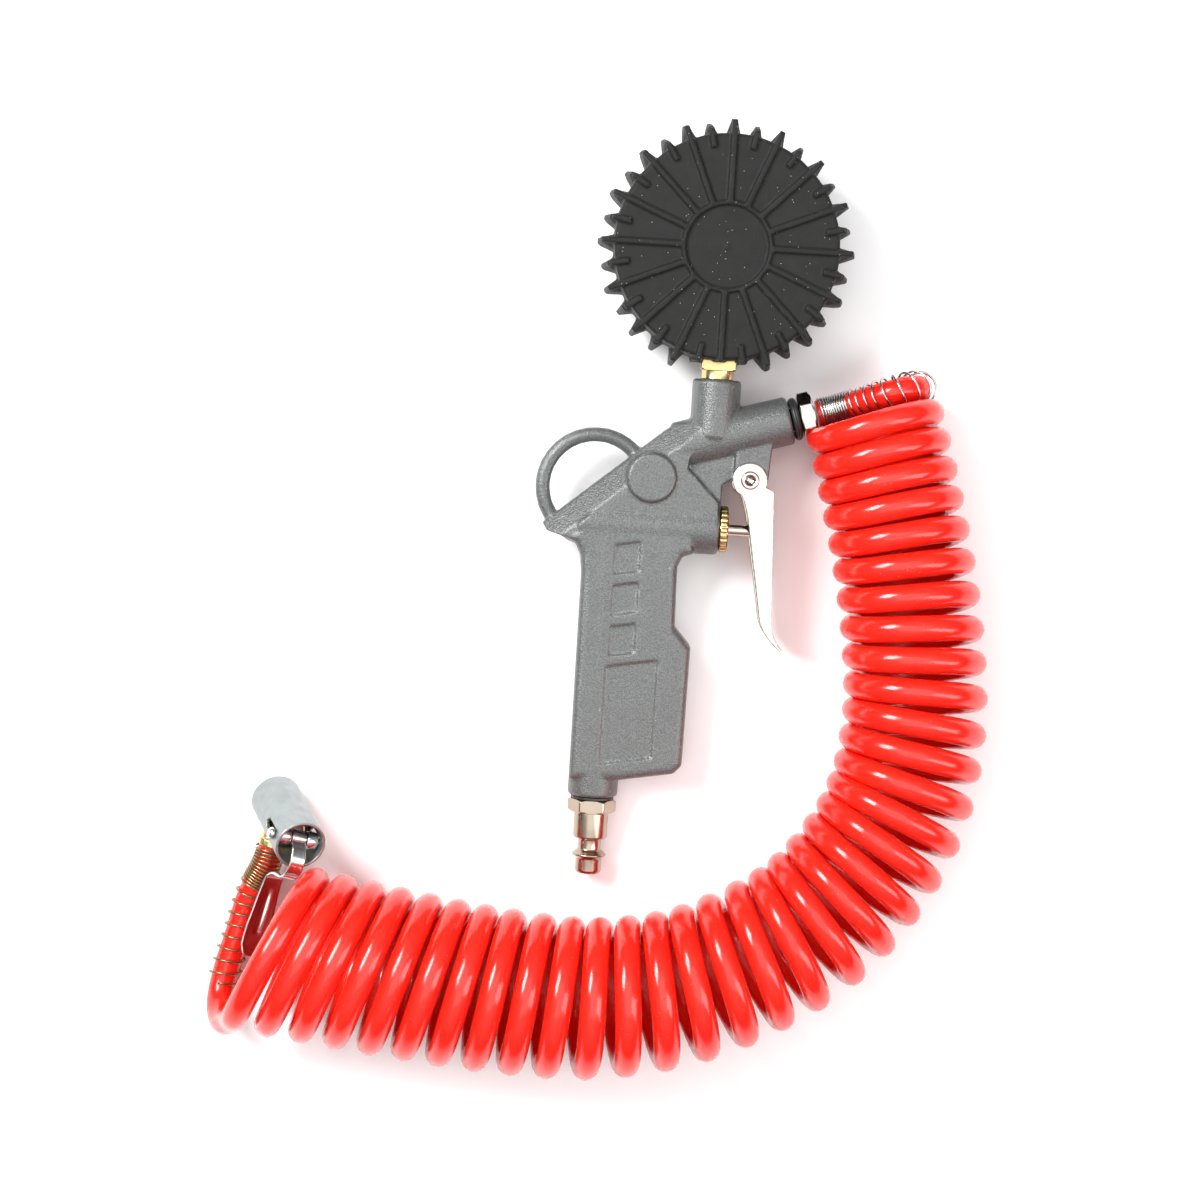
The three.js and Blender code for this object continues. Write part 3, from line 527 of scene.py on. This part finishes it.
def add_camera():
    """Straight down on the object, as it was photographed."""
    data = bpy.data.cameras.new("camera")
    data.sensor_width = 36
    data.lens = 76.56
    camera = bpy.data.objects.new("camera", data)
    camera.location = CAMERA_PLACE
    camera.rotation_euler = (0, 0, CAMERA_TURN)
    bpy.context.scene.collection.objects.link(camera)
    bpy.context.scene.camera = camera


def add_floor():
    mesh = bpy.data.meshes.new("floor")
    corners = [(x * FLOOR_REACH, y * FLOOR_REACH, 0) for x, y in ((-1, -1), (1, -1), (1, 1), (-1, 1))]
    mesh.from_pydata(corners, [], [(0, 1, 2, 3)])
    floor = bpy.data.objects.new("floor", mesh)
    bpy.context.scene.collection.objects.link(floor)
    mesh.materials.append(Surface("floor", (0.93, 0.93, 0.93), 0.6).material)


def add_light(name, place, target, size, power, tint=(1, 1, 1)):
    data = bpy.data.lights.new(name, "AREA")
    data.shape = "RECTANGLE"
    data.size, data.size_y = size
    data.energy = power
    data.color = tint
    light = bpy.data.objects.new(name, data)
    light.location = place
    light.rotation_euler = (Vector(target) - Vector(place)).to_track_quat("-Z", "Y").to_euler()
    bpy.context.scene.collection.objects.link(light)


def add_world():
    """Bright overhead and darker lower down, so that plated metal has something to reflect. The very
    horizon is pale, like the floor that ends there."""
    world = bpy.data.worlds.new("studio")
    bpy.context.scene.world = world
    world.use_nodes = True
    nodes, links = world.node_tree.nodes, world.node_tree.links
    split = nodes.new("ShaderNodeSeparateXYZ")
    links.new(nodes.new("ShaderNodeTexCoord").outputs["Generated"], split.inputs["Vector"])
    ramp = nodes.new("ShaderNodeValToRGB")
    ramp.color_ramp.elements[0].position = 0.0
    ramp.color_ramp.elements[0].color = (0.62, 0.62, 0.63, 1)
    ramp.color_ramp.elements[1].position = 0.85
    ramp.color_ramp.elements[1].color = (1, 1, 1, 1)
    ramp.color_ramp.elements.new(0.035).color = (0.06, 0.06, 0.065, 1)
    ramp.color_ramp.elements.new(0.4).color = (0.3, 0.3, 0.31, 1)
    links.new(split.outputs["Z"], ramp.inputs["Fac"])
    links.new(ramp.outputs["Color"], nodes["Background"].inputs["Color"])
    nodes["Background"].inputs["Strength"].default_value = 0.8


# ---------------------------------------------------------------- the hose and its guard springs
def carried_normals(line):
    """A sideways direction at each point of a line, carried along it without twisting."""
    tangents = np.gradient(line, axis=0)
    tangents /= np.linalg.norm(tangents, axis=1)[:, None]
    normal = np.cross(tangents[0], (0, 0, 1))
    normals = []
    for tangent in tangents:
        normal = normal - tangent * np.dot(normal, tangent)
        normal /= np.linalg.norm(normal)
        normals.append(normal)
    return np.array(normals), np.cross(tangents, normals)


def add_guard(name, route, start, tight, end, turns, stand_off, finish, stands_for):
    """A wire wound round the hose: close-wound over the first stretch, then opening out.
    The open turns stand off the hose by stand_off millimetres more."""
    line = spaced(curved(route), 0.5)
    along = lengths(line)
    sides, others = carried_normals(line)
    tight_turns = (tight - start) / GUARD_PITCH
    points = []
    for turn in np.linspace(0, tight_turns + turns, int((tight_turns + turns) * GUARD_POINTS)):
        radius = HOSE_RADIUS + GUARD_GAP + GUARD_WIRE
        if turn < tight_turns:
            where = start + (tight - start) * turn / tight_turns
        else:
            open_share = (turn - tight_turns) / turns
            where = tight + (end - tight) * (0.9 * open_share + 0.1 * open_share ** 2)
            radius += stand_off * min(1, 2 * open_share)
        centre, side, other = (np.array([np.interp(where, along, values[:, i]) for i in range(3)])
                               for values in (line, sides, others))
        angle = 2 * math.pi * turn
        points.append(centre + radius * (math.cos(angle) * side + math.sin(angle) * other))
    vertices, faces = swept(points, GUARD_WIRE, 10)
    return make(name, vertices, faces, ASSEMBLY, finish, stands_for=(stands_for,))


def add_hose(chuck_pieces):
    gun_side = gun_route()
    chuck_side = chuck_route()
    coil = coil_line()
    into_coil = curved([*gun_side, *coil[:BLEND_POINTS]])
    out_of_coil = curved([*coil[-BLEND_POINTS:], *reversed(chuck_side)])
    line = np.vstack([into_coil, coil[BLEND_POINTS:-BLEND_POINTS], out_of_coil])
    line = eased(spaced(line, LINE_SPACING), 6)
    points = placed(ASSEMBLY, line)

    data = bpy.data.curves.new("hose", "CURVE")
    data.dimensions = "3D"
    data.bevel_depth = HOSE_RADIUS * MM
    data.bevel_resolution = 7
    data.use_fill_caps = True
    spline = data.splines.new("POLY")
    spline.points.add(len(points) - 1)
    spline.points.foreach_set("co", np.column_stack([points, np.ones(len(points))]).ravel())
    spline.use_smooth = True
    hose = as_piece("hose", data, "hose_red", "pistol", ("hose_lead_gun", "hose_coil", "hose_lead_chuck"))

    gun_guard = add_guard("gun_guard_coil", gun_side, start=0.6, tight=13.5, end=50, turns=10,
                          stand_off=0.7, finish="spring_steel", stands_for="guard_spring_gun")
    chuck_guard = add_guard("chuck_guard_coil", chuck_side, start=0.3, tight=15, end=56, turns=9,
                            stand_off=0.25, finish="brassed_steel", stands_for="guard_spring_chuck")


# ---------------------------------------------------------------- the pistol
def add_body():
    softened("gun_body", 0.42, 14, "cast_paint")


def add_gauge_boot():
    softened("gauge_boot", 0.46, 2, "boot_rubber")


def add_shank():
    """The gauge's square brass shank, with its corners and ends broken."""
    profile = filleted([(0.1, -28), (9.2, -28), (9.2, -43.2), (8.2, -43.9), (5.9, -43.9), (5.9, -47.2),
                        (6.6, -47.2), (6.6, -48), (0.1, -48)], 0.3)
    vertices, faces = turned(profile, 96, polygon_limit(12.8, 4))
    make("gauge_shank", vertices, faces, GAUGE_FRAME, "brass", stands_for=("gauge_stem",))


def add_hose_end():
    ring = [(4.9 + 1.5 * (1 - math.cos(a)), 1.9 + 1.5 * math.sin(a)) for a in np.linspace(-3.1, 3.1, 24)]
    vertices, faces = turned(ring, 72)
    make("hose_o_ring_round", vertices, faces, HOSE_END, "seal_rubber", stands_for=("hose_o_ring",))
    profile = filleted([(4.5, -6), (4.5, 3.7), (7.6, 3.7), (8.9, 4.3), (8.9, 8.1), (7.8, 8.8), (6.2, 8.8),
                        (5.9, 9.3), (5.1, 9.3), (5.1, 7)], 0.2)
    vertices, faces = turned(profile, 120, polygon_limit(HEXAGON, 6))
    make("hose_nut", vertices, faces, HOSE_END, "nickel", stands_for=("hose_fitting",))


def add_nipple():
    hexagon = filleted([(5, 1.3), (7.9, 1.3), (8.85, 1.9), (8.85, 5.4), (7.9, 6), (5, 6)], 0.2)
    vertices, faces = turned(hexagon, 120, polygon_limit(HEXAGON, 6))
    make("nipple_hex", vertices, faces, INLET_END, "worn_nickel", stands_for=("inlet_nipple",))
    profile = filleted([(6.0, 5.5), (6.25, 6.6), (6.25, 15.3), (5.6, 16), (4.2, 16.2), (4.2, 20), (4.9, 20.5),
                        (6.3, 21.7), (6.3, 22.2), (4.8, 23.3), (4.8, 28), (4.2, 28.9), (2.8, 28.9),
                        (2.8, 6)], 0.35)
    vertices, faces = turned(profile, 72)
    make("nipple_nose", vertices, faces, INLET_END, "worn_nickel")


def add_valve_plug():
    def slots(angle, radius, y):
        notch = abs((angle * 24 / (2 * math.pi)) % 1 - 0.5) < 0.16
        return radius - 0.35 if notch and radius > 7.9 and 0.7 < y < 2.9 else radius
    profile = filleted([(6, -2), (6, 0.3), (8.1, 0.3), (8.6, 0.8), (8.6, 2.7), (8, 3.3), (3.4, 3.3), (3, 2.6),
                        (2.4, 2.6), (2.4, -2)], 0.15)
    vertices, faces = turned(profile, 192, slots)
    make("valve_plug_fine", vertices, faces, VALVE, "brass", stands_for=("valve_plug",))
    vertices, faces = turned(filleted([(0.05, -12.4), (2, -12.4), (2, 16.8), (1.3, 17.8), (0.05, 17.8)]), 40)
    make("valve_stem_fine", vertices, faces, VALVE, "nickel", "valve", ("valve_stem",))


def add_valve_spring():
    """The return spring inside the barrel, made at one length; the real one shortens as the valve is pushed
    in.
    """
    inner_end, outer_end, mean_radius, wire, turns = -25.3, -19.3, 5.0, 0.35, 3.5
    angles = np.linspace(0, 2 * math.pi * turns, 90)
    heights = np.linspace(inner_end + wire, outer_end - wire, len(angles))
    line = np.column_stack([mean_radius * np.cos(angles), heights, mean_radius * np.sin(angles)])
    vertices, faces = swept(line, wire, 8)
    spring = make("valve_spring_wound", vertices, faces, VALVE, "spring_steel", "pistol", ("valve_spring",))
    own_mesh(spring)


def add_lever():
    softened("lever", 0.22, 5, "nickel", "lever")
    socket = polygon_limit(3.2, 6)
    profile = filleted([(2.4, -9.9), (2.4, 8.1), (3.3, 8.1), (3.3, 9.5), (2.9, 9.9), (2.1, 9.9), (1.95, 9.6),
                        (1.95, 8.4), (0.1, 8.2)], 0.12)
    vertices, faces = turned(profile, 72, lambda a, r, y: socket(a, r, y) if r < 2.05 and y > 8 else r)
    make("lever_pin_fine", vertices, faces, LEVER_PIN, "nickel", stands_for=("lever_pin",))


# ---------------------------------------------------------------- the clip-on chuck
def strip(line, widths, thickness, rib=(0, 0, 0), across_steps=14):
    """Bent sheet: a line in the chuck's side plane with a width at each point and a pressed rib.
    rib is where it starts and ends, as shares of the length, and its height."""
    line = spaced(curved([(0, y, z) for y, z in line]), 0.6)
    along = lengths(line) / lengths(line)[-1]
    tangents = np.gradient(line, axis=0)
    tangents /= np.linalg.norm(tangents, axis=1)[:, None]
    normals = np.cross((1, 0, 0), tangents)
    vertices = []
    for share, point, normal in zip(along, line, normals):
        half = at_share(widths, share) / 2
        inside = rib[0] < share < rib[1]
        lift = rib[2] * math.sin(math.pi * (share - rib[0]) / (rib[1] - rib[0])) ** 0.3 if inside else 0
        for face in (-1, 1):
            for step in range(across_steps + 1):
                spot = 2 * step / across_steps - 1
                curl = 0.12 * half * spot ** 6
                ridge = lift * math.exp(-(spot * half / 0.9) ** 2)
                round_off = 1 - 0.6 * abs(spot) ** 12
                offset = normal * (ridge - curl + face * thickness / 2 * round_off)
                vertices.append(tuple(point + np.array((spot * half * -face, 0, 0)) + offset))
    ring = 2 * (across_steps + 1)
    faces = []
    for row in range(len(line) - 1):
        for i in range(ring):
            a, b = row * ring + i, row * ring + (i + 1) % ring
            faces.append((a, b, b + ring, a + ring))
    faces.append(tuple(reversed(range(ring))))
    faces.append(tuple(range((len(line) - 1) * ring, len(line) * ring)))
    return vertices, faces


def add_chuck():
    """Returns every piece of the chuck, which hangs on the hose's far end."""
    pieces = [softened("chuck_body", 0.3, 2, "zinc"), softened("chuck_core", 0.3, 2, "brass")]
    pieces += [frame["nodes"]["chuck_seal"], frame["nodes"]["chuck_depressor"]]
    pin_place = CHUCK @ Matrix.Translation((0, 0, CHUCK_PIN_Z))
    ends = filleted([(0.1, -11.3), (1.6, -11.2), (2.2, -10.4), (2.2, -9.7), (1.5, -9.6), (1.5, 9.6),
                     (2.2, 9.7), (2.2, 10.4), (1.6, 11.2), (0.1, 11.3)], 0.5)
    vertices, faces = turned(ends, 40)
    pieces.append(make("chuck_pin_fine", vertices, faces, pin_place @ ALONG_X, "bright_zinc",
                       stands_for=("chuck_pin",)))
    for side, node in ((-1, ()), (1, ("chuck_spring",))):
        bush = filleted([(1.6, side * 3.1), (3.2, side * 3.1), (3.5, side * 5), (3.1, side * 7.4),
                         (1.6, side * 7.4)], 0.6)
        vertices, faces = turned(bush if side > 0 else bush[::-1], 48)
        pieces.append(make(f"chuck_bush_{'right' if side > 0 else 'left'}", vertices, faces,
                           pin_place @ ALONG_X, "bright_zinc", stands_for=node))

    arm = [(0, 2), (-2.2, 5.6), (-5.5, 7.9), (-10, 8), (-13.4, 5.4), (-16.4, -2), (-19.4, -4.5), (-24, -4.2),
           (-34, -1.7), (-45, 1), (-49, 3.4)]
    widths = [(0, 5.2), (0.2, 5.6), (0.36, 6), (0.5, 6.8), (0.8, 9.6), (0.93, 9.4), (0.98, 7.4), (1, 4.5)]
    vertices, faces = strip(arm, widths, 1.1, (0.56, 0.86, 0.9))
    pieces.append(make("chuck_lever_arm", vertices, faces, pin_place, "bright_zinc", "chuck_lever",
                       ("chuck_lever",)))
    claw = [(0, -1), (3, -3.2), (5.2, -6.5), (5.2, -12)]
    vertices, faces = strip(claw, [(0, 4), (1, 3.8)], 1.1)
    pieces.append(make("chuck_lever_claw", vertices, faces, pin_place, "bright_zinc", "chuck_lever"))
    eye = filleted([(1.8, -2.7), (2.9, -2.7), (2.9, 2.7), (1.8, 2.7)], 0.3)
    vertices, faces = turned([*eye, eye[0]], 48)
    pieces.append(make("chuck_lever_eye", vertices, faces, pin_place @ ALONG_X, "bright_zinc",
                       "chuck_lever"))
    return pieces


# ---------------------------------------------------------------- the gauge's face
DIAL_Z = -12.45
SCALE_START = math.radians(225)        # seen from the face, anticlockwise from 3 o'clock
SCALE_SWEEP = math.radians(270)
SCALE_TOP = 12
MARKS_PER_NUMBER = 5
SCALE_RADIUS = 30.4
NUMBER_RADIUS = 22
NUMBER_HEIGHT = 5.4


def dial_angle(share):
    """Where a share of the scale lies. The face is seen from below, so its x runs the other way."""
    return math.pi - (SCALE_START - SCALE_SWEEP * share)


def add_dial_marks():
    vertices, faces = [], []
    marks = SCALE_TOP * MARKS_PER_NUMBER
    for mark in range(marks + 1):
        inner, half = (26.2, 0.28) if mark % MARKS_PER_NUMBER == 0 else (28.4, 0.14)
        bar, sides = box_mesh((inner, -half, -0.06), (SCALE_RADIUS, half, 0.02))
        turn = Matrix.Translation((0, 0, DIAL_Z)) @ Matrix.Rotation(dial_angle(mark / marks), 4, "Z")
        faces += [tuple(len(vertices) + i for i in side) for side in sides]
        vertices += [tuple(turn @ Vector(v)) for v in bar]
    make("dial_marks", vertices, faces, GAUGE_FRAME, "dial_ink", smooth=False)
    for number in range(0, SCALE_TOP + 1, 2):
        data = bpy.data.curves.new(f"number_{number}", "FONT")
        data.body = str(number)
        data.size = NUMBER_HEIGHT
        data.align_x = data.align_y = "CENTER"
        data.extrude = 0.03
        data.offset = 0.14
        text = bpy.data.objects.new("text", data)
        bpy.context.scene.collection.objects.link(text)
        bpy.context.view_layer.update()
        mesh = bpy.data.meshes.new_from_object(text.evaluated_get(bpy.context.evaluated_depsgraph_get()))
        bpy.data.objects.remove(text)
        angle = dial_angle(number / SCALE_TOP)
        spot = (NUMBER_RADIUS * math.cos(angle), NUMBER_RADIUS * math.sin(angle), DIAL_Z - 0.02)
        mesh.transform(GAUGE_FRAME @ Matrix.Translation(spot) @ Matrix.Rotation(math.pi, 4, "Y"))
        as_piece(f"dial_number_{number}", mesh, "dial_ink", "pistol")


# ---------------------------------------------------------------- everything else keeps its CAD solid
def dress_cad_nodes():
    for entry in frame["record"]["subparts"]:
        node = frame["nodes"][entry["node"]]
        for material_slot in node.material_slots:
            material_slot.link = "OBJECT"
            material_slot.material = FINISH[entry["material_slot"]]


bpy.context.scene.view_settings.view_transform = "Standard"
add_camera()
dress_cad_nodes()
add_hose(add_chuck())
add_floor()
add_world()
add_light("overhead", (0, 0, 1.6), (0, 0, 0), (1.5, 1.5), 10)
add_light("key", (-0.6, 0.3, 0.75), (0, -0.05, 0), (0.5, 0.35), 13)
add_light("fill", (0.75, -0.25, 0.7), (0, -0.05, 0), (0.4, 0.8), 5)
add_body()
add_gauge_boot()
add_shank()
add_hose_end()
add_nipple()
add_valve_plug()
add_valve_spring()
add_lever()
add_dial_marks()
